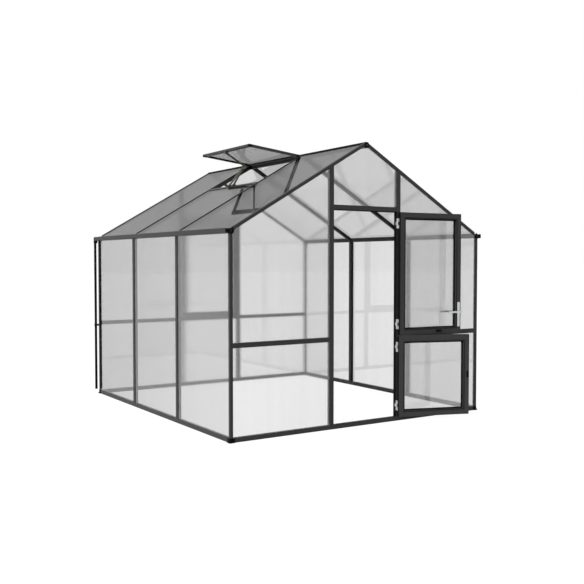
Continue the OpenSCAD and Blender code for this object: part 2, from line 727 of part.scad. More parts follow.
// Leaf bar: x inwards from the leaf's edge, y inwards from its outer face
module leaf_section() {
  difference() {
    square([leaf_bar_w, leaf_t]);
    translate([leaf_bar_w - groove_d, leaf_sheet_in]) square([groove_d + cut, groove_w]);
    translate([leaf_wall, leaf_wall])
      square([leaf_bar_w - groove_d - 2 * leaf_wall, leaf_t - 2 * leaf_wall]);
  }
}
module leaf_stiles(z0, z1) {
  on_front() for (s = [0, 1]) mirror([s, 0, 0])
    translate([-leaf_w / 2, 0, z0]) linear_extrude(z1 - z0) leaf_section();
}
module leaf_rails(z0, z1) {
  run = leaf_w - 2 * leaf_bar_w;
  on_front() for (top = [0, 1]) translate([-run / 2, 0, top ? z1 : z0]) mirror([0, 0, top ? 0 : 1])
    rotate([0, 90, 0]) linear_extrude(run) leaf_section();
}
module leaf_sheet(z0, z1) {
  x = leaf_w / 2 - leaf_bar_w + sheet_bite;
  on_front() translate([-x, leaf_sheet_in + sheet_slack, z0 + leaf_bar_w - sheet_bite])
    cube([2 * x, sheet_t, z1 - z0 - 2 * leaf_bar_w + 2 * sheet_bite]);
}
module spindle_hole() {
  translate([handle_x, y_front - 2 * plate_t, lever_z]) rotate([-90, 0, 0])
    cylinder(r = spindle_r + pin_gap, h = leaf_t + 4 * plate_t);
}
module upper_leaf_stiles() {
  color(anthracite) turned(upper_open) difference() {
    leaf_stiles(upper_z0, upper_z1);
    spindle_hole();
  }
}
module upper_leaf_rails() { color(anthracite) turned(upper_open) leaf_rails(upper_z0, upper_z1); }
module upper_leaf_pane() { color(haze) turned(upper_open) leaf_sheet(upper_z0, upper_z1); }
module lower_leaf_stiles() { color(anthracite) turned(lower_open) leaf_stiles(lower_z0, lower_z1); }
module lower_leaf_rails() { color(anthracite) turned(lower_open) leaf_rails(lower_z0, lower_z1); }
module lower_leaf_pane() { color(haze) turned(lower_open) leaf_sheet(lower_z0, lower_z1); }

// Hinges: the middle knuckle and pin are on the jamb, the outer two on the leaf
module lug(x, z, h) {
  translate([x, hinge_y, z - h / 2]) cube([lug_t, y_front + lug_reach - hinge_y, h]);
}
module jamb_hinges() {
  color(chrome) for (z = concat(upper_hinges, lower_hinges)) {
    translate([hinge_x, hinge_y, z - knuckle_h / 2]) cylinder(r = knuckle_r, h = knuckle_h);
    translate([hinge_x, hinge_y, z - hinge_h / 2]) cylinder(r = pin_r, h = hinge_h);
    lug(door_clear_w / 2 - lug_t, z, knuckle_h);
  }
}
module leaf_hinges(heights) {
  color(chrome) for (z = heights, s = [-1, 1]) {
    zc = z + s * (hinge_h - knuckle_h) / 2;
    difference() {
      union() {
        translate([hinge_x, hinge_y, zc - knuckle_h / 2]) cylinder(r = knuckle_r, h = knuckle_h);
        lug(leaf_w / 2, zc, knuckle_h);
      }
      translate([hinge_x, hinge_y, zc - knuckle_h]) cylinder(r = pin_r + pin_gap, h = 2 * knuckle_h);
    }
  }
}
module upper_leaf_hinges() { turned(upper_open) leaf_hinges(upper_hinges); }
module lower_leaf_hinges() { turned(lower_open) leaf_hinges(lower_hinges); }

// Handle: a back plate on each face, and one lever set turning in them
module back_plate(y) {
  translate([handle_x - plate_w / 2, y, plate_z - plate_h / 2]) cube([plate_w, plate_t, plate_h]);
}
module handle_plates() {
  color(chrome) turned(upper_open) difference() {
    union() {
      back_plate(y_front - plate_t);
      back_plate(y_front + leaf_t);
    }
    spindle_hole();
  }
}
module lever(y, out) {
  translate([handle_x, y, lever_z]) {
    rotate([-90 * out, 0, 0]) cylinder(r = neck_r, h = neck_out);
    translate([0, out * neck_out, 0]) {
      sphere(neck_r);
      rotate([0, 90, 0]) cylinder(r = grip_r, h = grip_l);
      translate([grip_l, 0, 0]) sphere(grip_r);
    }
  }
}
module door_lever() {
  out_y = y_front - plate_t - lever_gap;
  in_y = y_front + leaf_t + plate_t + lever_gap;
  color(chrome) turned(upper_open) {
    translate([handle_x, out_y - cut, lever_z]) rotate([-90, 0, 0]) cylinder(r = spindle_r, h = in_y - out_y + 2 * cut);
    lever(out_y, -1);
    lever(in_y, 1);
  }
}
// Turn catch: an oval knob on the inside of a leaf
module catch_body(x, z, upright) {
  run = catch_l - catch_w;
  translate([x, y_front + leaf_t, z]) rotate([-90, 0, 0]) rotate([0, 0, upright ? 90 : 0]) linear_extrude(catch_t) {
    square([run, catch_w], center = true);
    for (s = [-1, 1]) translate([s * run / 2, 0]) circle(d = catch_w);
  }
}
module upper_leaf_catch() {
  color(black) turned(upper_open) catch_body(hinge_x - upper_catch_x, upper_z0 + leaf_bar_w / 2, false);
}
module lower_leaf_catch() {
  color(black) turned(lower_open) catch_body(-leaf_w / 2 + lower_catch_in, lower_catch_z, true);
}

base_sills();
base_corner_blocks();
corner_posts();
side_wall_posts();
left_eaves_gutter();
right_eaves_gutter();
gutter_end_caps();
gutter_outlets();
downpipes();
downpipe_clips();
door_jambs();
rear_wall_posts();
door_header();
rear_header();
front_mid_rails();
rear_mid_rails();
gable_rafters();
roof_bars();
ridge_bar();
ridge_end_caps();
vent_trimmer();
door_threshold();
front_wall_panes();
over_door_pane();
rear_wall_panes();
left_wall_panes();
right_wall_panes();
left_roof_panes();
right_roof_panes();
vent_stiles();
vent_rails();
vent_pane();
vent_opener_arms();
vent_opener_brackets();
rear_window_stiles();
rear_window_rails();
rear_window_pane();
jamb_hinges();
upper_leaf_stiles();
upper_leaf_rails();
upper_leaf_pane();
upper_leaf_hinges();
handle_plates();
upper_leaf_catch();
lower_leaf_stiles();
lower_leaf_rails();
lower_leaf_pane();
lower_leaf_hinges();
lower_leaf_catch();
door_lever();
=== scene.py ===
import json
from math import cos, pi, radians, sin, tan

import bpy
from mathutils import Matrix, Vector


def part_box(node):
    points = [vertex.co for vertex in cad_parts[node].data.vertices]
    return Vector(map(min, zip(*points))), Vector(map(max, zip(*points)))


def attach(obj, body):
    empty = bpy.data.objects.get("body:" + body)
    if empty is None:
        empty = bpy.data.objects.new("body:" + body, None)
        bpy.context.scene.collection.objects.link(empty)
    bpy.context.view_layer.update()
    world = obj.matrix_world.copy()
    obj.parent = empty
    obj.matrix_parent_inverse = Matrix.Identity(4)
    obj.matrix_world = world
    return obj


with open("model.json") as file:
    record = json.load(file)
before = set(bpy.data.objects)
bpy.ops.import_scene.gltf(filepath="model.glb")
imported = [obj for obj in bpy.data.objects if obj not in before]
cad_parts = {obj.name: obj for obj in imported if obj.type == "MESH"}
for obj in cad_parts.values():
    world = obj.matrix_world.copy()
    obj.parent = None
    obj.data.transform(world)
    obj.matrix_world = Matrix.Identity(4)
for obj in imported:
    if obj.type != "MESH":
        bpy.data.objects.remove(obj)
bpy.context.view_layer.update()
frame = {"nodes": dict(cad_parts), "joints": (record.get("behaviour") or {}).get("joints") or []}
bpy.ops.object.select_all(action="DESELECT")

# Studio: a white floor that runs out into a white background, under plain soft light.
# The world is the fill, one broad sun from the front left is the key, and the camera
# stands at eye height off the front left corner.
WHITE = "#ffffff"
FILL = 0.55
FLOOR_TONE = "#595959"
FLOOR_GLOW = 0.96
FLOOR_SIZE = 160.0
KEY_STRENGTH = 2.6
KEY_SPREAD = radians(35)
KEY_AIM = Vector((0.86, 0.30, -0.46))
KEY_AWAY = 5.0
CAMERA_PLACE = (-4.086, -5.2223, 1.3205)
CAMERA_TURN = (radians(87.833), 0.0, radians(-32.99))
CAMERA_LENS = 50.77
SENSOR = 36.0

scene = bpy.context.scene
scene.view_settings.view_transform = "Standard"


def linear(code):
    """Turns an sRGB hex colour into linear RGBA."""
    shares = [int(code[i:i + 2], 16) / 255 for i in (1, 3, 5)]
    return [c / 12.92 if c <= 0.04045 else ((c + 0.055) / 1.055) ** 2.4 for c in shares] + [1.0]


def add(tree, kind, inputs=None, **settings):
    """Adds one node. Settings are its own properties, inputs are values or the sockets that feed it."""
    made = tree.nodes.new(kind)
    for name, value in settings.items():
        setattr(made, name, value)
    for name, value in (inputs or {}).items():
        if isinstance(value, bpy.types.NodeSocket):
            tree.links.new(value, made.inputs[name])
        else:
            made.inputs[name].default_value = value
    return made


def new_material(name):
    """An empty procedural material and its node tree."""
    made = bpy.data.materials.new(name)
    made.use_nodes = True
    made.node_tree.nodes.clear()
    return made, made.node_tree


def seen_share(tree):
    """1 for what is seen straight, mirrored or through a sheet, 0 for light that falls on a surface."""
    path = add(tree, "ShaderNodeLightPath").outputs
    first = add(tree, "ShaderNodeMath", {0: path["Is Camera Ray"], 1: path["Is Glossy Ray"]},
                operation="MAXIMUM")
    seen = add(tree, "ShaderNodeMath", {0: first.outputs[0], 1: path["Is Transmission Ray"]},
               operation="MAXIMUM")
    straight = add(tree, "ShaderNodeMath", {0: path["Diffuse Depth"], 1: 0.5}, operation="LESS_THAN")
    share = add(tree, "ShaderNodeMath", {0: seen.outputs[0], 1: straight.outputs[0]}, operation="MULTIPLY")
    return share.outputs[0]


scene.world = bpy.data.worlds.new("studio_fill")
scene.world.use_nodes = True
sky = scene.world.node_tree
sky.nodes.clear()
sky_level = add(sky, "ShaderNodeMapRange", {"Value": seen_share(sky), "To Min": FILL, "To Max": 1.0})
sky_light = add(sky, "ShaderNodeBackground", {"Color": linear(WHITE), "Strength": sky_level.outputs[0]})
add(sky, "ShaderNodeOutputWorld", {"Surface": sky_light.outputs[0]})

# The floor's paint is seen as plain white and throws a softer light back on the object.
bpy.ops.mesh.primitive_plane_add(size=FLOOR_SIZE, location=(0, 0, 0))
floor = bpy.context.object
floor.name = "studio_floor"
floor_paint, tree = new_material("white_floor_paint")
glow = add(tree, "ShaderNodeMath", {0: seen_share(tree), 1: FLOOR_GLOW}, operation="MULTIPLY")
lit = add(tree, "ShaderNodeBsdfDiffuse", {"Color": linear(FLOOR_TONE)})
white = add(tree, "ShaderNodeEmission", {"Color": linear(WHITE), "Strength": glow.outputs[0]})
both = add(tree, "ShaderNodeAddShader", {0: lit.outputs[0], 1: white.outputs[0]})
add(tree, "ShaderNodeOutputMaterial", {"Surface": both.outputs[0]})
floor.data.materials.append(floor_paint)

bpy.ops.object.light_add(type="SUN", location=-KEY_AWAY * KEY_AIM)
key = bpy.context.object
key.name = "key_light"
key.rotation_euler = KEY_AIM.to_track_quat("-Z", "Y").to_euler()
key.data.energy = KEY_STRENGTH
key.data.angle = KEY_SPREAD

bpy.ops.object.camera_add(location=CAMERA_PLACE, rotation=CAMERA_TURN)
scene.camera = bpy.context.object
scene.camera.data.lens = CAMERA_LENS
scene.camera.data.sensor_width = SENSOR

# Frame bars: extruded aluminium, powder coated in satin anthracite and screwed together.
# Sills, posts, rails, rafters, eaves, ridge, vent sash, rear window and door leaves share it.
# The coat shows a fine pebbled skin, slightly uneven gloss and a faint drift of colour.
COAT_DARK = "#323232"
COAT_LIGHT = "#3c3c3c"
COAT_SHINE = 0.2
COAT_GLOSS = (0.42, 0.58)
DRIFT = 0.35
# The pebbles are drawn 4 mm wide, coarser than the real ones, so that they show.
PEBBLE = 0.004
PEBBLE_H = 0.0004
PEBBLE_SHARE = 0.12


def powder_coated(name, dark, light, shine):
    """A satin powder coat between two tones."""
    made, tree = new_material(name)
    spot = add(tree, "ShaderNodeTexCoord").outputs["Object"]
    drift = add(tree, "ShaderNodeTexNoise", {"Vector": spot, "Scale": 1 / DRIFT, "Detail": 4.0})
    tone = add(tree, "ShaderNodeMix", {0: drift.outputs["Fac"], 6: linear(dark), 7: linear(light)},
               data_type="RGBA")
    gloss = add(tree, "ShaderNodeMapRange", {
        "Value": drift.outputs["Fac"], "To Min": COAT_GLOSS[0], "To Max": COAT_GLOSS[1]})
    pebble = add(tree, "ShaderNodeTexNoise", {"Vector": spot, "Scale": 1 / PEBBLE, "Detail": 2.0})
    skin = add(tree, "ShaderNodeBump", {
        "Height": pebble.outputs["Fac"], "Strength": PEBBLE_SHARE, "Distance": PEBBLE_H})
    finish = add(tree, "ShaderNodeBsdfPrincipled", {
        "Base Color": tone.outputs["Result"], "Roughness": gloss.outputs[0], "Normal": skin.outputs[0],
        "Specular IOR Level": shine})
    add(tree, "ShaderNodeOutputMaterial", {"Surface": finish.outputs[0]})
    return made


def coat(material, *names):
    """Gives CAD nodes their finish."""
    for name in names:
        slots = frame["nodes"][name].data.materials
        slots.clear()
        slots.append(material)


powder_coat = powder_coated("anthracite_powder_coat", COAT_DARK, COAT_LIGHT, COAT_SHINE)
coat(powder_coat, "base_sills", "corner_posts", "side_wall_posts", "left_eaves_gutter", "right_eaves_gutter",
     "door_jambs", "rear_wall_posts", "door_header", "rear_header", "front_mid_rails", "rear_mid_rails",
     "gable_rafters", "roof_bars", "ridge_bar", "vent_trimmer", "vent_stiles", "vent_rails",
     "rear_window_stiles", "rear_window_rails", "upper_leaf_stiles", "upper_leaf_rails",
     "lower_leaf_stiles", "lower_leaf_rails")

# Moulded fittings: corner blocks, end caps, outlets, downpipes, clips and catches, pushed on or screwed
# to the bars. They are injection moulded in black polypropylene, which is a dull black with a fine grain.
PLASTIC_DARK = "#0b0b0b"
PLASTIC_LIGHT = "#151515"
PLASTIC_SHINE = 0.04
PLASTIC_GLOSS = (0.4, 0.6)
CLOUDS_PER_M = 9.0
# The grain is drawn 3 mm wide, coarser than the real one, so that it shows.
GRAIN = 0.003
GRAIN_H = 0.0003
GRAIN_SHARE = 0.15

moulded, tree = new_material("black_moulded_polypropylene")
spot = add(tree, "ShaderNodeTexCoord").outputs["Object"]
cloud = add(tree, "ShaderNodeTexNoise", {"Vector": spot, "Scale": CLOUDS_PER_M, "Detail": 3.0})
tone = add(tree, "ShaderNodeMix", {
    0: cloud.outputs["Fac"], 6: linear(PLASTIC_DARK), 7: linear(PLASTIC_LIGHT)}, data_type="RGBA")
gloss = add(tree, "ShaderNodeMapRange", {
    "Value": cloud.outputs["Fac"], "To Min": PLASTIC_GLOSS[0], "To Max": PLASTIC_GLOSS[1]})
grain = add(tree, "ShaderNodeTexVoronoi", {"Vector": spot, "Scale": 1 / GRAIN})
skin = add(tree, "ShaderNodeBump", {
    "Height": grain.outputs["Distance"], "Strength": GRAIN_SHARE, "Distance": GRAIN_H})
shell = add(tree, "ShaderNodeBsdfPrincipled", {
    "Base Color": tone.outputs["Result"], "Roughness": gloss.outputs[0], "Normal": skin.outputs[0],
    "Specular IOR Level": PLASTIC_SHINE})
add(tree, "ShaderNodeOutputMaterial", {"Surface": shell.outputs[0]})
coat(moulded, "base_corner_blocks", "gutter_end_caps", "gutter_outlets", "downpipes", "downpipe_clips",
     "ridge_end_caps", "upper_leaf_catch", "lower_leaf_catch")

# Glazing: twin-wall polycarbonate sheets, extruded with upright ribs and pushed into the bars' grooves.
# Square on they pass most of the light. Seen along the face they turn grey, as the ribs close up, and
# mirror more. Their index is below solid polycarbonate's, because most of such a sheet is air.
SHEET_IOR = 1.4
BLUR = 0.06
GLOSS = 0.015
# The ribs are drawn 20 mm apart, wider than the real 6 mm, so that they show. They blur what is behind
# the sheet sideways, which is drawn as a fine ripple.
RIB = 0.020
RIB_DEPTH = 0.012
RIPPLE_W = 0.0015
RIPPLE = 0.015
STREAK_W = 0.11
STREAK_DEPTH = 0.012
# Shares of light that one face passes and mirrors, against 0 for square on and 1 for along the face.
# They are matched to the object region by region, one set each for the walls, the roof and the vent.
# It is the same sheet in all three, and the differences between the sets are painted light and shade.
WALL_PASSED = ((0.0, 0.92), (0.07, 0.905), (0.15, 0.889), (0.20, 0.868), (0.27, 0.865), (0.38, 0.855),
               (0.455, 0.80), (0.55, 0.74), (0.60, 0.665), (0.65, 0.60), (0.80, 0.33), (1.0, 0.15))
WALL_MIRRORED = ((0.0, 0.09), (0.30, 0.095), (0.455, 0.13), (0.55, 0.18), (0.67, 0.20), (1.0, 0.5))
ROOF_PASSED = ((0.0, 0.92), (0.15, 0.889), (0.27, 0.867), (0.455, 0.83), (0.60, 0.80), (0.67, 0.77),
               (0.74, 0.45), (0.80, 0.18), (0.86, 0.16), (1.0, 0.10))
ROOF_MIRRORED = ((0.0, 0.09), (0.30, 0.095), (0.60, 0.23), (0.67, 0.23), (0.74, 0.21), (0.80, 0.20),
                 (0.86, 0.22), (1.0, 0.5))
VENT_PASSED = ((0.0, 0.96), (0.60, 0.96), (0.67, 0.82), (0.74, 0.53), (0.80, 0.31), (0.86, 0.265),
               (1.0, 0.15))
VENT_MIRRORED = ((0.0, 0.09), (0.60, 0.12), (0.80, 0.125), (0.86, 0.15), (1.0, 0.5))


def twin_wall(name, passed, mirrored):
    """One region's copy of the twin-wall sheet, whose shares carry painted light and shade."""
    made, tree = new_material(name)
    spot = add(tree, "ShaderNodeTexCoord").outputs["Object"]
    normal = add(tree, "ShaderNodeNewGeometry").outputs["True Normal"]
    level = add(tree, "ShaderNodeVectorMath", {0: normal, 1: (0, 0, 1)}, operation="CROSS_PRODUCT")
    across = add(tree, "ShaderNodeVectorMath", {0: level.outputs[0]}, operation="NORMALIZE").outputs[0]
    reach = add(tree, "ShaderNodeVectorMath", {0: spot, 1: across}, operation="DOT_PRODUCT").outputs["Value"]

    phase = add(tree, "ShaderNodeMath", {0: reach, 1: 2 * pi / RIB}, operation="MULTIPLY")
    rib = add(tree, "ShaderNodeMath", {0: phase.outputs[0]}, operation="SINE")
    rib_shade = add(tree, "ShaderNodeMapRange", {
        "Value": rib.outputs[0], "From Min": -1.0, "To Min": 1.0 - RIB_DEPTH, "To Max": 1.0})
    streak = add(tree, "ShaderNodeTexNoise", {"W": reach, "Scale": 1 / STREAK_W, "Detail": 2.0},
                 noise_dimensions="1D")
    streak_shade = add(tree, "ShaderNodeMapRange", {
        "Value": streak.outputs["Fac"], "To Min": 1.0 - STREAK_DEPTH, "To Max": 1.0 + STREAK_DEPTH})
    shade = add(tree, "ShaderNodeMath", {0: rib_shade.outputs[0], 1: streak_shade.outputs[0]},
                operation="MULTIPLY")

    facing = add(tree, "ShaderNodeLayerWeight", {"Blend": 0.5}).outputs["Facing"]
    shares = []
    for points in (passed, mirrored):
        ramp = add(tree, "ShaderNodeValToRGB", {"Fac": facing})
        stops = ramp.color_ramp.elements
        for place, share in points[1:-1]:
            stops.new(place)
        for stop, (place, share) in zip(stops, points):
            stop.color = (share, share, share, 1)
        shares.append(ramp.outputs["Color"])
    tint = add(tree, "ShaderNodeVectorMath", {0: shares[0], "Scale": shade.outputs[0]}, operation="SCALE")

    ripple = add(tree, "ShaderNodeTexNoise", {"W": reach, "Scale": 1 / RIPPLE_W, "Detail": 0.0},
                 noise_dimensions="1D")
    tilt = add(tree, "ShaderNodeMapRange", {
        "Value": ripple.outputs["Fac"], "To Min": -RIPPLE, "To Max": RIPPLE})
    lean = add(tree, "ShaderNodeVectorMath", {0: across, "Scale": tilt.outputs[0]}, operation="SCALE")
    leaning = add(tree, "ShaderNodeVectorMath", {0: normal, 1: lean.outputs[0]}, operation="ADD")
    rippled = add(tree, "ShaderNodeVectorMath", {0: leaning.outputs[0]}, operation="NORMALIZE")

    through = add(tree, "ShaderNodeBsdfRefraction", {
        "Color": tint.outputs[0], "Roughness": BLUR, "IOR": SHEET_IOR, "Normal": rippled.outputs[0]})
    mirror = add(tree, "ShaderNodeBsdfAnisotropic", {"Color": linear(WHITE), "Roughness": GLOSS})
    glazed = add(tree, "ShaderNodeMixShader", {0: shares[1], 1: through.outputs[0], 2: mirror.outputs[0]})
    add(tree, "ShaderNodeOutputMaterial", {"Surface": glazed.outputs[0]})
    return made


coat(twin_wall("twin_wall_polycarbonate", WALL_PASSED, WALL_MIRRORED),
     "front_wall_panes", "over_door_pane", "rear_wall_panes", "left_wall_panes", "right_wall_panes",
     "rear_window_pane", "upper_leaf_pane", "lower_leaf_pane")
# The roof's and the vent's copies differ from the walls' only by painted light and shade in their shares.
coat(twin_wall("roof_twin_wall_polycarbonate", ROOF_PASSED, ROOF_MIRRORED),
     "left_roof_panes", "right_roof_panes")
coat(twin_wall("vent_twin_wall_polycarbonate", VENT_PASSED, VENT_MIRRORED), "vent_pane")

# Ridge cover: a strip of black polypropylene, clipped over the ridge bar from end cap to end cap.
# It is flat, with its two upper edges rounded.
RIDGE_COVER_H = 0.005
RIDGE_COVER_EDGE = 0.002
# A normal or an edge counts as along an axis above this share, and faces meet smoothly below this angle.
ALONG = 0.9
SMOOTH_BELOW = radians(35)


def block(name, low, high):
    """A box between two corners, to be shaped further."""
    low, high = Vector(low), Vector(high)
    bpy.ops.object.select_all(action="DESELECT")
    bpy.ops.mesh.primitive_cube_add(size=1, location=(low + high) / 2, scale=high - low)
    made = bpy.context.object
    made.name = name
    bpy.ops.object.transform_apply(location=True, rotation=True, scale=True)
    return made


def pick(piece, kind, test):
    """Selects faces by middle and normal, or edges by middle and direction, and stays in edit mode."""
    bpy.ops.object.mode_set(mode="EDIT")
    bpy.ops.mesh.select_mode(type=kind)
    bpy.ops.mesh.select_all(action="DESELECT")
    bpy.ops.object.mode_set(mode="OBJECT")
    mesh = piece.data
    if kind == "FACE":
        for face in mesh.polygons:
            face.select = test(face.center, face.normal)
    else:
        for edge in mesh.edges:
            a, b = (mesh.vertices[i].co for i in edge.vertices)
            edge.select = test((a + b) / 2, (b - a).normalized())
    bpy.ops.object.mode_set(mode="EDIT")


def done(piece, body, material, turn=None):
    """Ends a piece: back to object mode, turned into place, in its finish and on its body."""
    if piece.mode == "EDIT":
        bpy.ops.object.mode_set(mode="OBJECT")
    bpy.ops.object.select_all(action="DESELECT")
    piece.select_set(True)
    bpy.context.view_layer.objects.active = piece
    if turn is not None:
        piece.matrix_world = turn @ piece.matrix_world
    bpy.ops.object.transform_apply(location=True, rotation=True, scale=True)
    bpy.ops.object.shade_smooth_by_angle(angle=SMOOTH_BELOW)
    piece.data.materials.clear()
    piece.data.materials.append(material)
    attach(piece, body)


ridge_low, ridge_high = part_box("ridge_bar")
made = block("ridge_cover", (ridge_low.x, ridge_low.y, ridge_high.z),
             (ridge_high.x, ridge_high.y, ridge_high.z + RIDGE_COVER_H))
pick(made, "EDGE", lambda middle, way: abs(way.y) > ALONG and middle.z > ridge_high.z + RIDGE_COVER_H / 2)
bpy.ops.mesh.bevel(offset=RIDGE_COVER_EDGE, segments=3)
done(made, "frame", moulded)

# Ridge seals: wedges of extruded black rubber, pressed along the ridge bar on top of the roof sheets and
# between the bars' caps. The left slope has none in the middle bay, where the vent sash hangs.
# The rubber is a soft dull black with a faint cloudy bloom.
RUBBER_DARK = "#0a0a0a"
RUBBER_LIGHT = "#141414"
RUBBER_SHINE = 0.05
RUBBER_GLOSS = (0.65, 0.85)
BLOOM = 0.040
WEDGE_RUN = 0.022
WEDGE_RISE = 0.006
WEDGE_LIP = 0.0015
ROOF_PITCH = radians(30)
SHEET_T = 0.006
BAR_CAP = 0.014
ROOF_BAR = 0.030
RAFTER = 0.024

rubber, tree = new_material("black_extruded_rubber")
spot = add(tree, "ShaderNodeTexCoord").outputs["Object"]
bloom = add(tree, "ShaderNodeTexNoise", {"Vector": spot, "Scale": 1 / BLOOM, "Detail": 4.0})
tone = add(tree, "ShaderNodeMix", {
    0: bloom.outputs["Fac"], 6: linear(RUBBER_DARK), 7: linear(RUBBER_LIGHT)}, data_type="RGBA")
gloss = add(tree, "ShaderNodeMapRange", {
    "Value": bloom.outputs["Fac"], "To Min": RUBBER_GLOSS[0], "To Max": RUBBER_GLOSS[1]})
finish = add(tree, "ShaderNodeBsdfPrincipled", {
    "Base Color": tone.outputs["Result"], "Roughness": gloss.outputs[0], "Specular IOR Level": RUBBER_SHINE})
add(tree, "ShaderNodeOutputMaterial", {"Surface": finish.outputs[0]})


def joined(name, parts):
    """Joins several modelled parts into one piece."""
    bpy.ops.object.select_all(action="DESELECT")
    for part in parts:
        part.select_set(True)
    bpy.context.view_layer.objects.active = parts[0]
    if len(parts) > 1:
        bpy.ops.object.join()
    parts[0].name = name
    return parts[0]


sheet_low, sheet_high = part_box("right_roof_panes")
slope_bars_low, slope_bars_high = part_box("roof_bars")
cap_in = (ROOF_BAR - BAR_CAP) / 2
bays = ((ridge_low.y + RAFTER, slope_bars_low.y + cap_in),
        (slope_bars_low.y + ROOF_BAR - cap_in, slope_bars_high.y - ROOF_BAR + cap_in),
        (slope_bars_high.y - cap_in, ridge_high.y - RAFTER))
sheet_corner = Matrix.Translation((sheet_low.x + SHEET_T * sin(ROOF_PITCH), 0, sheet_high.z))
seat = (sheet_corner @ Matrix.Rotation(ROOF_PITCH, 4, "Y")
        @ Matrix.Translation((-SHEET_T * tan(ROOF_PITCH), 0, 0)))
half_round = Matrix.Rotation(pi, 4, "Z")
parts = []
for side, number in ((1, 0), (1, 1), (1, 2), (-1, 0), (-1, 2)):
    y0, y1 = sorted(side * y for y in bays[number])
    wedge = block("wedge", (0, y0, 0), (WEDGE_RUN, y1, WEDGE_RISE))
    pick(wedge, "EDGE",
         lambda middle, way: abs(way.y) > ALONG and middle.x > WEDGE_LIP and middle.z > WEDGE_LIP)
    bpy.ops.transform.translate(value=(0, 0, WEDGE_LIP - WEDGE_RISE))
    pick(wedge, "EDGE", lambda middle, way: abs(way.y) > ALONG and middle.z > WEDGE_LIP / 2)
    bpy.ops.mesh.bevel(offset=WEDGE_LIP / 2, segments=2)
    bpy.ops.object.mode_set(mode="OBJECT")
    wedge.matrix_world = (half_round if side < 0 else Matrix()) @ seat
    parts.append(wedge)
done(joined("ridge_seals", parts), "frame", rubber)

# Cap tongues: the end of the gutter's aluminium wall, in the frame's coat. It shows as a slanted tongue
# in the slot of each front end cap, a little below the cap's face.
TONGUE_L = 0.022
TONGUE_W = 0.006
TONGUE_ROUND = 0.49 * TONGUE_W
TONGUE_IN = 0.0445
TONGUE_UP = 0.023
TONGUE_LEAN = radians(60)
TONGUE_SINK = 0.0005

cap_low, cap_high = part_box("gutter_end_caps")
parts = []
for side in (-1, 1):
    tongue = block("tongue", (-TONGUE_L / 2, cap_low.y + TONGUE_SINK, -TONGUE_W / 2),
                   (TONGUE_L / 2, cap_high.y, TONGUE_W / 2))
    pick(tongue, "EDGE", lambda middle, way: abs(way.y) > ALONG)
    bpy.ops.mesh.bevel(offset=TONGUE_ROUND, segments=6)
    bpy.ops.object.mode_set(mode="OBJECT")
    slot_place = Matrix.Translation((side * (cap_high.x - TONGUE_IN), 0, cap_low.z + TONGUE_UP))
    tongue.matrix_world = slot_place @ Matrix.Rotation(side * TONGUE_LEAN, 4, "Y")
    parts.append(tongue)
done(joined("cap_tongues", parts), "frame", powder_coat)

# Rear window: a sash on two pivots in the upper middle bay of the rear gable, sealed with black rubber.
# A gasket is pressed in round its sheet on the inside, and a strip closes the gap round the sash.
WINDOW_BAR = 0.034
WINDOW_GAP = 0.006
WINDOW_GASKET_W = 0.010
WINDOW_GASKET_T = 0.006
WINDOW_GASKET_SLOPE = 0.003
WINDOW_SEAL_T = 0.004
WINDOW_SEAL_SLOPE = 0.001
NEAR = 0.0001


def ring(name, low, high, width, slope, side):
    """A flat rectangular ring in an upright plane, its inner edge on one side sloped off."""
    made = block(name, low, high)
    pick(made, "FACE", lambda middle, normal: abs(normal.y) > ALONG)
    bpy.ops.mesh.inset(thickness=width, use_individual=True)
    bpy.ops.mesh.bridge_edge_loops()
    face_y = high.y if side > 0 else low.y

    def on_inner_rim(middle, way):
        inside_x = low.x + width - NEAR < middle.x < high.x - width + NEAR
        inside_z = low.z + width - NEAR < middle.z < high.z - width + NEAR
        return inside_x and inside_z and abs(middle.y - face_y) < NEAR

    pick(made, "EDGE", on_inner_rim)
    bpy.ops.mesh.bevel(offset=slope, segments=1)
    return made


window_low, window_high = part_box("rear_window_stiles")
sheet_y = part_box("rear_window_pane")[0].y
inset = WINDOW_GAP + WINDOW_BAR
low = Vector((window_low.x + inset, sheet_y - WINDOW_GASKET_T, window_low.z + WINDOW_BAR))
high = Vector((window_high.x - inset, sheet_y, window_high.z - WINDOW_BAR))
made = ring("rear_window_gasket", low, high, WINDOW_GASKET_W, WINDOW_GASKET_SLOPE, -1)
done(made, "frame", rubber)

low = Vector((window_low.x, window_low.y, window_low.z - WINDOW_GAP))
high = Vector((window_high.x, window_low.y + WINDOW_SEAL_T, window_high.z + WINDOW_GAP))
made = ring("rear_window_seal", low, high, WINDOW_GAP, WINDOW_SEAL_SLOPE, -1)
done(made, "frame", rubber)

# Vent sash: hung on the ridge in the frame's coat, it stands open and rises to its free edge.
# Black moulded covers are pushed on its four corners, and a rubber gasket holds its sheet from below.
SASH_TILT = radians(6.5)
SASH_L = 0.525
SASH_T = 0.020
SASH_BAR = 0.030
COVER = 0.033
COVER_OUT = 0.0012
COVER_TOP = 0.009
COVER_ROUND = 0.004
COVER_RIM = 0.003
COVER_CROWN = 0.0008
VENT_GASKET_W = 0.008
VENT_GASKET_T = 0.004
VENT_GASKET_SLOPE = 0.002

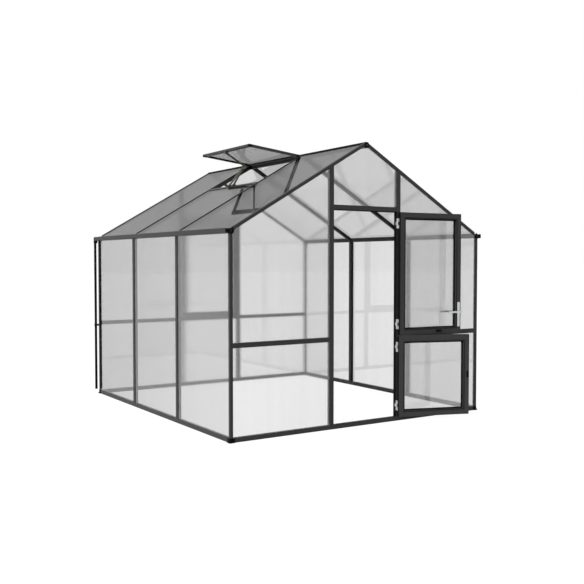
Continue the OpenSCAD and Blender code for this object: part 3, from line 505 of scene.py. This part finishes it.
sash_low, sash_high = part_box("vent_pane")
stile_low, stile_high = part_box("vent_stiles")
half_l, half_w = SASH_L / 2, (stile_high.y - stile_low.y) / 2
up_slope = Vector((-cos(SASH_TILT), 0, sin(SASH_TILT)))
out = Vector((sin(SASH_TILT), 0, cos(SASH_TILT)))
sash_turn = Matrix((up_slope, out, Vector((0, 1, 0)))).transposed().to_4x4()
sash_frame = Matrix.Translation((sash_low + sash_high) / 2) @ sash_turn
parts = []
for su in (-1, 1):
    for sv in (-1, 1):
        us = sorted((su * (half_l + (COVER_OUT if su > 0 else 0)), su * (half_l - COVER)))
        vs = sorted((sv * (half_w + COVER_OUT), sv * (half_w - COVER)))
        cover = block("cover", (us[0], -SASH_T / 2 - COVER_OUT, vs[0]), (us[1], COVER_TOP, vs[1]))
        pick(cover, "EDGE", lambda middle, way: abs(way.y) > ALONG)
        bpy.ops.mesh.bevel(offset=COVER_ROUND, segments=3)
        pick(cover, "FACE", lambda middle, normal: normal.y < -ALONG)
        bpy.ops.mesh.inset(thickness=COVER_RIM)
        bpy.ops.transform.translate(value=(0, -COVER_CROWN, 0))
        bpy.ops.object.mode_set(mode="OBJECT")
        parts.append(cover)
done(joined("vent_corner_covers", parts), "frame", moulded, sash_frame)

low = Vector((-half_l + SASH_BAR, -SHEET_T / 2 - VENT_GASKET_T, -half_w + SASH_BAR))
high = Vector((half_l - SASH_BAR, -SHEET_T / 2, half_w - SASH_BAR))
made = ring("vent_gasket", low, high, VENT_GASKET_W, VENT_GASKET_SLOPE, -1)
done(made, "frame", rubber, sash_frame)

# Vent opener: drawn steel arms and folded brackets, zinc plated with an olive passivated film.
# The film is blotchy, with a dull metal sheen. Plated rivets go through the elbow and the brackets.
ZINC_DARK = "#45433b"
ZINC_LIGHT = "#5b584e"
ZINC_GLOSS = (0.35, 0.55)
ZINC_METAL = 0.6
BLOTCH = 0.03
ELBOW_X = -0.345
ELBOW_Z = 2.1852
PIN_R = 0.0045
PIN_L = 0.036
PIN_RIM = 0.0012
PIN_ROUND = 0.0008
BRACKET_T = 0.018
FORK = 0.084
FOOT_UP = 0.021

zinc, tree = new_material("olive_passivated_zinc")
spot = add(tree, "ShaderNodeTexCoord").outputs["Object"]
blotch = add(tree, "ShaderNodeTexNoise", {"Vector": spot, "Scale": 1 / BLOTCH, "Detail": 3.0})
tone = add(tree, "ShaderNodeMix", {
    0: blotch.outputs["Fac"], 6: linear(ZINC_DARK), 7: linear(ZINC_LIGHT)}, data_type="RGBA")
gloss = add(tree, "ShaderNodeMapRange", {
    "Value": blotch.outputs["Fac"], "To Min": ZINC_GLOSS[0], "To Max": ZINC_GLOSS[1]})
plated = add(tree, "ShaderNodeBsdfPrincipled", {
    "Base Color": tone.outputs["Result"], "Roughness": gloss.outputs[0], "Metallic": ZINC_METAL})
add(tree, "ShaderNodeOutputMaterial", {"Surface": plated.outputs[0]})
coat(zinc, "vent_opener_arms", "vent_opener_brackets")


def turned_disc(radius, height):
    """A short round bar on the origin that stands up along Z."""
    bpy.ops.object.select_all(action="DESELECT")
    bpy.ops.mesh.primitive_cylinder_add(vertices=40, radius=radius, depth=height, location=(0, 0, height / 2))
    made = bpy.context.object
    bpy.ops.object.transform_apply(location=True, rotation=True, scale=True)
    return made


def copies(name, model, spots):
    """Copies a part to each place with its Z axis turned the given way, and joins the copies."""
    parts = []
    for place, way in spots:
        part = model.copy()
        part.data = model.data.copy()
        bpy.context.collection.objects.link(part)
        turned = Vector(way).to_track_quat("Z", "Y").to_matrix().to_4x4()
        part.matrix_world = Matrix.Translation(place) @ turned
        parts.append(part)
    bpy.data.objects.remove(model)
    return joined(name, parts)


pin = turned_disc(PIN_R, PIN_L)
pick(pin, "FACE", lambda middle, normal: abs(normal.z) > ALONG)
bpy.ops.mesh.inset(thickness=PIN_RIM, use_individual=True)
bpy.ops.mesh.bevel(offset=PIN_ROUND, segments=2)
bpy.ops.object.mode_set(mode="OBJECT")
sash_foot = sash_frame @ Vector((half_l - SASH_BAR / 2, -(SASH_T + BRACKET_T) / 2, 0))
elbow = Vector((ELBOW_X, (sash_low.y + sash_high.y) / 2, ELBOW_Z))
trimmer_low, trimmer_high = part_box("vent_trimmer")
off_roof = Vector((-sin(ROOF_PITCH), 0, cos(ROOF_PITCH)))
trimmer_foot = (trimmer_low + trimmer_high) / 2 + FOOT_UP * off_roof
feet = [trimmer_foot + Vector((0, side * FORK / 2, 0)) for side in (-1, 1)]
spots = [(place - Vector((0, PIN_L / 2, 0)), (0, 1, 0)) for place in [elbow, sash_foot] + feet]
done(copies("opener_pins", pin, spots), "frame", zinc)

# Fitting screws: pan heads with a round recess hold the corner blocks, the gutter caps, the ridge caps
# and the downpipe clips. Those in the ridge caps are plated like the opener, the others are black.
# A head's size is its radius and its height.
BLOCK_SCREW = (0.0045, 0.0022)
BLOCK_SCREW_UP = 0.022
BLOCK_STEP = 0.006
BLOCK_MID = 0.018
CAP_SCREW_IN = 0.012
CAP_SCREW_UP = 0.020
RIDGE_SCREW = (0.006, 0.002)
CLIP_SCREW = (0.0035, 0.0012)
CLIP_SCREW_IN = 0.017
CLIP_T = 0.004
# Shares of a head: its rim's height, the step in to its crown and to its recess, the recess's depth.
HEAD_RIM = 0.6
HEAD_STEP = 0.3
HEAD_RECESS = 0.5


def screw(radius, height):
    """A screw head on the origin that stands up along Z."""
    bpy.ops.object.select_all(action="DESELECT")
    bpy.ops.mesh.primitive_cylinder_add(vertices=20, radius=radius, depth=height * HEAD_RIM,
                                        location=(0, 0, height * HEAD_RIM / 2))
    made = bpy.context.object
    bpy.ops.object.transform_apply(location=True, rotation=True, scale=True)
    pick(made, "FACE", lambda middle, normal: normal.z > ALONG)
    bpy.ops.mesh.inset(thickness=radius * HEAD_STEP)
    bpy.ops.transform.translate(value=(0, 0, height * (1 - HEAD_RIM)))
    bpy.ops.mesh.inset(thickness=radius * HEAD_STEP)
    bpy.ops.mesh.extrude_region_move(TRANSFORM_OT_translate={"value": (0, 0, -height * HEAD_RECESS)})
    bpy.ops.object.mode_set(mode="OBJECT")
    return made


block_low, block_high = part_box("base_corner_blocks")
block_z = block_low.z + BLOCK_SCREW_UP
spots = []
for sx, x in ((-1, block_low.x + BLOCK_STEP), (1, block_high.x - BLOCK_STEP)):
    for sy, y in ((-1, block_low.y + BLOCK_STEP), (1, block_high.y - BLOCK_STEP)):
        spots.append(((x - sx * BLOCK_MID, y, block_z), (0, sy, 0)))
        spots.append(((x, y - sy * BLOCK_MID, block_z), (sx, 0, 0)))
done(copies("corner_block_screws", screw(*BLOCK_SCREW), spots), "frame", moulded)

cap_screw_x, cap_screw_z = cap_high.x - CAP_SCREW_IN, cap_low.z + CAP_SCREW_UP
spots = [((side * cap_screw_x, cap_low.y, cap_screw_z), (0, -1, 0)) for side in (-1, 1)]
done(copies("gutter_cap_screws", screw(*BLOCK_SCREW), spots), "frame", moulded)

end_low, end_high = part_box("ridge_end_caps")
end_z = (end_low.z + end_high.z) / 2
spots = [((0, end_low.y, end_z), (0, -1, 0)), ((0, end_high.y, end_z), (0, 1, 0))]
done(copies("ridge_cap_screws", screw(*RIDGE_SCREW), spots), "frame", zinc)

clip_low, clip_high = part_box("downpipe_clips")
clip_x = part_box("corner_posts")[1].x - CLIP_SCREW_IN
clip_z = (clip_low.z + clip_high.z) / 2
spots = [((side * clip_x, clip_low.y + CLIP_T, clip_z), (0, 1, 0)) for side in (-1, 1)]
done(copies("clip_screws", screw(*CLIP_SCREW), spots), "frame", moulded)

# Door seals: extruded black rubber. A strip fills the sill's groove in the doorway, and flat strips
# are glued to the jambs, the header and the leaves' hinge edges, cut out round the hinges.
SEAL_T = 0.0015
SEAL_EDGE = 0.002
SEAL_ROUND = 0.0006
HINGE_H = 0.080
HINGE_EDGE = 0.090

coat(rubber, "door_threshold")


def joint(name):
    """A joint of the frame by its name."""
    return next(j for j in frame["joints"] if j["name"] == name)


def leaf_turn(hinge):
    """How a leaf stands open: the turn about its hinge axis from closed."""
    axis_place = Vector(hinge["pos_m"])
    opened = Matrix.Rotation(radians(-hinge["range_deg"][0]), 4, "Z")
    return Matrix.Translation(axis_place) @ opened @ Matrix.Translation(-axis_place)


def closed_box(node, turn):
    """Lowest and highest corner of a leaf's node when the leaf is closed."""
    shut = turn.inverted()
    points = [shut @ v.co for v in frame["nodes"][node].data.vertices]
    return (Vector(min(p[i] for p in points) for i in range(3)),
            Vector(max(p[i] for p in points) for i in range(3)))


def strip(low, high):
    """A flat rubber strip with its long edges rounded over."""
    made = block("strip", low, high)
    pick(made, "EDGE", lambda middle, way: abs(way.z) > ALONG or abs(way.x) > ALONG)
    bpy.ops.mesh.bevel(offset=SEAL_ROUND, segments=2)
    bpy.ops.object.mode_set(mode="OBJECT")
    return made


def clear_runs(z0, z1):
    """The stretches of an upright edge between its hinges."""
    gap = HINGE_H / 2 + SEAL_EDGE
    cuts = sorted(z for z in hinge_heights if z0 < z < z1)
    ends = [z0] + [z + s * gap for z in cuts for s in (-1, 1)] + [z1]
    return list(zip(ends[0::2], ends[1::2]))


upper_turn = leaf_turn(joint("upper_leaf_hinge"))
lower_turn = leaf_turn(joint("lower_leaf_hinge"))
upper_low, upper_high = closed_box("upper_leaf_stiles", upper_turn)
lower_low, lower_high = closed_box("lower_leaf_stiles", lower_turn)
leaves = (("upper_leaf", upper_low, upper_high, upper_turn),
          ("lower_leaf", lower_low, lower_high, lower_turn))
hinge_heights = [z for _, low, high, _ in leaves for z in (high.z - HINGE_EDGE, low.z + HINGE_EDGE)]
lug_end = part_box("jamb_hinges")[1].y
sill_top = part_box("base_sills")[1].z
header_low, header_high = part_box("door_header")
front, back = header_low.y, header_high.y
left, right = header_low.x, header_high.x
lintel = header_low.z

parts = [strip((left, front + SEAL_EDGE, sill_top), (left + SEAL_T, back, lintel)),
         strip((right - SEAL_T, lug_end, sill_top), (right, back, lintel)),
         strip((left + SEAL_T, front + SEAL_EDGE, lintel - SEAL_T), (right - SEAL_T, back, lintel))]
for z0, z1 in clear_runs(sill_top, lintel - SEAL_T):
    parts.append(strip((right - SEAL_T, front + SEAL_EDGE, z0), (right, lug_end, z1)))
done(joined("doorway_seals", parts), "frame", rubber)

for body, low, high, turn in leaves:
    parts = [strip((high.x, lug_end, low.z), (high.x + SEAL_T, high.y - SEAL_EDGE, high.z))]
    for z0, z1 in clear_runs(low.z, high.z):
        parts.append(strip((high.x, low.y + SEAL_EDGE, z0), (high.x + SEAL_T, lug_end, z1)))
    done(joined(body + "_edge_seal", parts), body, rubber, turn)

# Header stop: a black rubber lip screwed to the back of the header, against which the upper leaf closes.
# Its lower half stands back a little from the leaf.
STOP_T = 0.0025
STOP_UP = 0.012
STOP_DOWN = 0.006
STOP_CLEAR = 0.0015

made = block("header_stop", (left + SEAL_T, back, lintel - STOP_DOWN),
             (right - SEAL_T, back + STOP_T + STOP_CLEAR, lintel + STOP_UP))
pick(made, "FACE", lambda middle, normal: normal.y < -ALONG)
bpy.ops.mesh.subdivide(number_cuts=1)
pick(made, "FACE", lambda middle, normal: normal.y < -ALONG and middle.z < lintel)
bpy.ops.transform.translate(value=(0, STOP_CLEAR, 0))
done(made, "frame", rubber)

# Leaf gaskets: a wedge of black rubber pressed in round each leaf's sheet, on both faces.
# It runs round the opening in one ring and slopes down from the bars to the sheet.
LEAF_BAR = 0.050
GASKET_W = 0.009
GASKET_IN = 0.008
GASKET_IN_SLOPE = 0.004
GASKET_OUT = 0.004
GASKET_OUT_SLOPE = 0.002

for body, leaf_low, leaf_high, turn in leaves:
    pane_low, pane_high = closed_box(body + "_pane", turn)
    for face, y0, y1, slope, side in (
            ("inner", pane_high.y, pane_high.y + GASKET_IN, GASKET_IN_SLOPE, 1),
            ("outer", pane_low.y - GASKET_OUT, pane_low.y, GASKET_OUT_SLOPE, -1)):
        low = Vector((leaf_low.x + LEAF_BAR, y0, leaf_low.z + LEAF_BAR))
        high = Vector((leaf_high.x - LEAF_BAR, y1, leaf_high.z - LEAF_BAR))
        made = ring(f"{body}_{face}_gasket", low, high, GASKET_W, slope, side)
        done(made, body, rubber, turn)

# Leaf beads: aluminium strips clipped on the leaf bars round the sheet, on the inside.
# Their coat is a darker, less glossy copy of the frame's, almost black: painted shade of the rebate round the
# sheet.
REBATE_SHADE_DARK = "#202020"
REBATE_SHADE_LIGHT = "#2a2a2a"
REBATE_SHADE_SHINE = 0.1
BEAD_W = 0.011
BEAD_T = 0.0015
BEAD_SLOPE = 0.0012

# The beads' near-black tones are painted shade of the rebate round the sheet.
rebate_shade_coat = powder_coated("black_powder_coat", REBATE_SHADE_DARK, REBATE_SHADE_LIGHT, REBATE_SHADE_SHINE)
inset = LEAF_BAR - BEAD_W
for body, leaf_low, leaf_high, turn in leaves:
    low = Vector((leaf_low.x + inset, leaf_high.y, leaf_low.z + inset))
    high = Vector((leaf_high.x - inset, leaf_high.y + BEAD_T, leaf_high.z - inset))
    done(ring(body + "_bead", low, high, BEAD_W, BEAD_SLOPE, 1), body, rebate_shade_coat, turn)

# Stile plugs: black moulded plates pushed into the open ends of the leaves' hollow stiles.
# The lower leaf has them below only, because its top strip covers the upper ends.
PLUG_T = 0.001
PLUG_IN = 0.001
PLUG_ROUND = 0.0005

for body, leaf_low, leaf_high, turn in leaves:
    ends = [(-1, leaf_low.z - PLUG_T, leaf_low.z)]
    if body == "upper_leaf":
        ends.append((1, leaf_high.z, leaf_high.z + PLUG_T))
    parts = []
    for x0 in (leaf_low.x, leaf_high.x - LEAF_BAR):
        for outside, z0, z1 in ends:
            plug = block("plug", (x0 + PLUG_IN, leaf_low.y + PLUG_IN, z0),
                         (x0 + LEAF_BAR - PLUG_IN, leaf_high.y - PLUG_IN, z1))
            pick(plug, "FACE", lambda middle, normal: normal.z * outside > ALONG)
            bpy.ops.mesh.bevel(offset=PLUG_ROUND, segments=2)
            bpy.ops.object.mode_set(mode="OBJECT")
            parts.append(plug)
    done(joined(body + "_plugs", parts), body, moulded, turn)

# Lower leaf's top strip: a flat aluminium bar in the frame's coat, screwed along the top of the leaf.
# It closes most of the gap under the upper leaf and covers the stiles' upper ends.
TOP_STRIP_H = 0.0055
TOP_STRIP_IN = 0.0008
TOP_STRIP_EDGE = 0.0006

made = block("lower_leaf_top_strip",
             (lower_low.x + TOP_STRIP_IN, lower_low.y + TOP_STRIP_IN, lower_high.z),
             (lower_high.x - TOP_STRIP_IN, lower_high.y - TOP_STRIP_IN, lower_high.z + TOP_STRIP_H))
pick(made, "FACE", lambda middle, normal: normal.z > ALONG)
bpy.ops.mesh.bevel(offset=TOP_STRIP_EDGE, segments=2)
done(made, "lower_leaf", powder_coat, lower_turn)

# Hinges: brushed stainless steel with a satin sheen, like the handle's plates and lever.
# The brushing runs upright and shows as fine streaks in the gloss. Each lug is held by two screws.
STEEL_DARK = "#b4b5b7"
STEEL_LIGHT = "#d6d7d9"
STEEL_GLOSS = (0.22, 0.38)
BRUSHING = 0.0015
BRUSH_STRETCH = 0.04
HINGE_SCREW = (0.0032, 0.0008)
LUG_T = 0.002
LUG_SCREW_BACK = 0.016
LUG_SCREW_Z = 0.007
LUG_STEP = 0.027

steel, tree = new_material("brushed_stainless_steel")
spot = add(tree, "ShaderNodeTexCoord").outputs["Object"]
upright = add(tree, "ShaderNodeMapping", {"Vector": spot, "Scale": (1.0, 1.0, BRUSH_STRETCH)})
brushed = add(tree, "ShaderNodeTexNoise", {
    "Vector": upright.outputs[0], "Scale": 1 / BRUSHING, "Detail": 2.0})
tone = add(tree, "ShaderNodeMix", {
    0: brushed.outputs["Fac"], 6: linear(STEEL_DARK), 7: linear(STEEL_LIGHT)}, data_type="RGBA")
gloss = add(tree, "ShaderNodeMapRange", {
    "Value": brushed.outputs["Fac"], "To Min": STEEL_GLOSS[0], "To Max": STEEL_GLOSS[1]})
metal = add(tree, "ShaderNodeBsdfPrincipled", {
    "Base Color": tone.outputs["Result"], "Roughness": gloss.outputs[0], "Metallic": 1.0})
add(tree, "ShaderNodeOutputMaterial", {"Surface": metal.outputs[0]})
coat(steel, "jamb_hinges", "upper_leaf_hinges", "lower_leaf_hinges", "handle_plates", "door_lever")

lug_y = joint("upper_leaf_hinge")["pos_m"][1] + LUG_SCREW_BACK
spots = [((right - LUG_T, lug_y, z + dz), (-1, 0, 0))
         for z in hinge_heights for dz in (-LUG_SCREW_Z, LUG_SCREW_Z)]
done(copies("jamb_hinge_screws", screw(*HINGE_SCREW), spots), "frame", steel)
for body, low, high, turn in leaves:
    spots = [((high.x + LUG_T, lug_y, z + side * LUG_STEP + dz), (1, 0, 0))
             for z in (high.z - HINGE_EDGE, low.z + HINGE_EDGE)
             for side in (-1, 1) for dz in (-LUG_SCREW_Z, LUG_SCREW_Z)]
    done(copies(body + "_hinge_screws", screw(*HINGE_SCREW), spots), body, steel, turn)

# Handle set: a back plate and a lever on each face of the upper leaf, in the hinges' steel.
# A turned collar sits round each lever's neck, with a lock cylinder below and two screws in the plate.
COLLAR_R = 0.0125
COLLAR_BORE = 0.0096
COLLAR_H = 0.0035
COLLAR_ROUND = 0.0012
CYLINDER_R = 0.0085
CYLINDER_H = 0.004
CYLINDER_DROP = 0.062
CYLINDER_RIM = 0.0022
CYLINDER_RECESS = 0.001
CYLINDER_ROUND = 0.0006
PLATE_SCREW = (0.0035, 0.0012)
PLATE_SCREW_IN = 0.010
# An edge is on a disc's top rim beyond this share of its radius and height.
RIM = 0.95

spindle_z = joint("lever_turn")["pos_m"][2]
plate_low, plate_high = closed_box("handle_plates", upper_turn)
handle_x = (plate_low.x + plate_high.x) / 2
plate_faces = ((plate_high.y, (0, 1, 0)), (plate_low.y, (0, -1, 0)))


def on_top_rim(radius, height):
    """Tests for the outer edges on top of a turned disc."""
    return lambda middle, way: middle.z > height * RIM and middle.xy.length > radius * RIM


collar = turned_disc(COLLAR_R, COLLAR_H)
pick(collar, "FACE", lambda middle, normal: abs(normal.z) > ALONG)
bpy.ops.mesh.inset(thickness=COLLAR_R - COLLAR_BORE, use_individual=True)
bpy.ops.mesh.bridge_edge_loops()
pick(collar, "EDGE", on_top_rim(COLLAR_R, COLLAR_H))
bpy.ops.mesh.bevel(offset=COLLAR_ROUND, segments=3)
bpy.ops.object.mode_set(mode="OBJECT")
spots = [((handle_x, y, spindle_z), way) for y, way in plate_faces]
done(copies("handle_collars", collar, spots), "upper_leaf", steel, upper_turn)

cylinder = turned_disc(CYLINDER_R, CYLINDER_H)
pick(cylinder, "FACE", lambda middle, normal: normal.z > ALONG)
bpy.ops.mesh.inset(thickness=CYLINDER_RIM)
bpy.ops.mesh.extrude_region_move(TRANSFORM_OT_translate={"value": (0, 0, -CYLINDER_RECESS)})
pick(cylinder, "EDGE", on_top_rim(CYLINDER_R, CYLINDER_H))
bpy.ops.mesh.bevel(offset=CYLINDER_ROUND, segments=2)
bpy.ops.object.mode_set(mode="OBJECT")
spots = [((handle_x, y, spindle_z - CYLINDER_DROP), way) for y, way in plate_faces]
done(copies("lock_cylinders", cylinder, spots), "upper_leaf", steel, upper_turn)

spots = [((handle_x, y, z), way) for y, way in plate_faces
         for z in (plate_low.z + PLATE_SCREW_IN, plate_high.z - PLATE_SCREW_IN)]
done(copies("plate_screws", screw(*PLATE_SCREW), spots), "upper_leaf", steel, upper_turn)

# Lock front: a stainless plate with round corners, let into the free edge of the upper leaf.
# It reaches further below the spindle than above it, because the lock's bolt is below.
FRONT_W = 0.020
FRONT_T = 0.001
FRONT_BELOW = 0.102
FRONT_ABOVE = 0.068
FRONT_ROUND = 0.004

middle_y = (upper_low.y + upper_high.y) / 2
made = block("lock_front", (upper_low.x - FRONT_T, middle_y - FRONT_W / 2, spindle_z - FRONT_BELOW),
             (upper_low.x, middle_y + FRONT_W / 2, spindle_z + FRONT_ABOVE))
pick(made, "EDGE", lambda middle, way: abs(way.x) > ALONG)
bpy.ops.mesh.bevel(offset=FRONT_ROUND, segments=4)
done(made, "upper_leaf", steel, upper_turn)

# Catch grips: a raised rib along the middle of each black turn catch, moulded in one with it.
# It lies level on the upper leaf's catch and stands upright on the lower leaf's.
GRIP_L = 0.036
GRIP_W = 0.006
GRIP_H = 0.0025
GRIP_ROUND = 0.002

for body, turn, half in (("upper_leaf", upper_turn, Vector((GRIP_L, 0, GRIP_W)) / 2),
                         ("lower_leaf", lower_turn, Vector((GRIP_W, 0, GRIP_L)) / 2)):
    catch_low, catch_high = closed_box(body + "_catch", turn)
    centre = (catch_low + catch_high) / 2
    centre.y = catch_high.y
    made = block(body + "_catch_grip", centre - half, centre + half + Vector((0, GRIP_H, 0)))
    pick(made, "FACE", lambda middle, normal: normal.y > ALONG)
    bpy.ops.mesh.bevel(offset=GRIP_ROUND, segments=3)
    done(made, body, moulded, turn)
